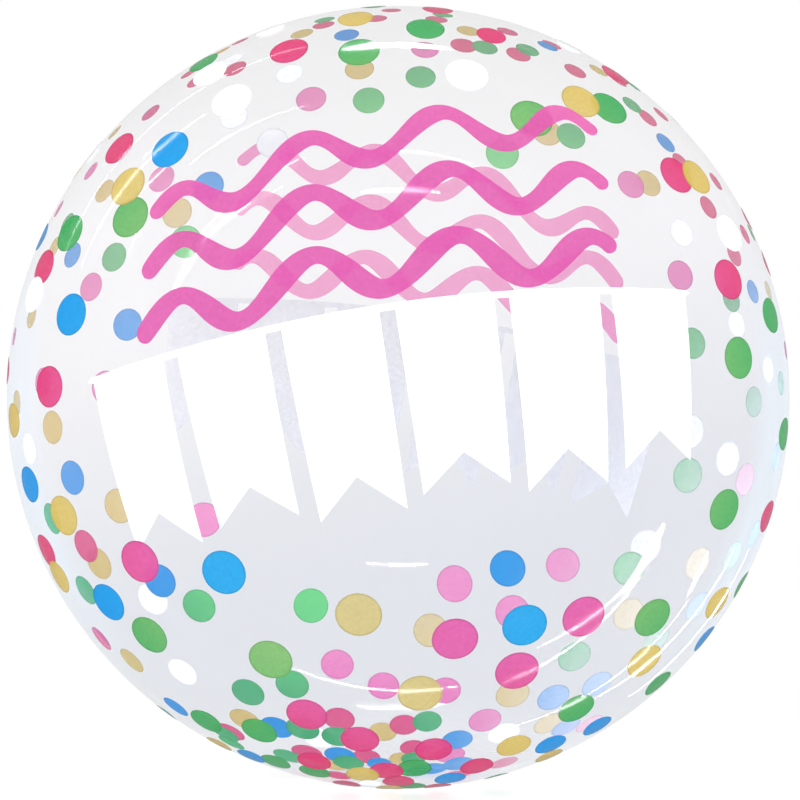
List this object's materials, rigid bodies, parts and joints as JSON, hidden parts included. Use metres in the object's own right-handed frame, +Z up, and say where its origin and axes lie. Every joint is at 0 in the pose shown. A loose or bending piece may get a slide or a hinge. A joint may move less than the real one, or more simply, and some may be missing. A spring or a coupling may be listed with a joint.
{
  "type": "clear bubble balloon",
  "caption": "Clear round bubble balloon with party confetti dots, pink streamers and white pennants printed on see-through film.",
  "frame": {"origin": "middle of the small flat spot that the balloon lies on", "axes": "+Z up through the crown of the ball, -Y out through the middle of the printed front, +X to the right of someone facing the printed front"},
  "size_m": [0.46, 0.46, 0.4589],
  "materials": {
    "bubble_film": "clear glossy plastic film, faintly milky",
    "white_ink": "opaque white printing ink",
    "pink_ink": "translucent pink printing ink",
    "magenta_ink": "translucent magenta printing ink",
    "blue_ink": "translucent blue printing ink",
    "green_ink": "translucent green printing ink",
    "yellow_ink": "translucent yellow printing ink"
  },
  "bodies": {
    "root": {"bubble_envelope": "bubble_film"}
  },
  "joints": []
}
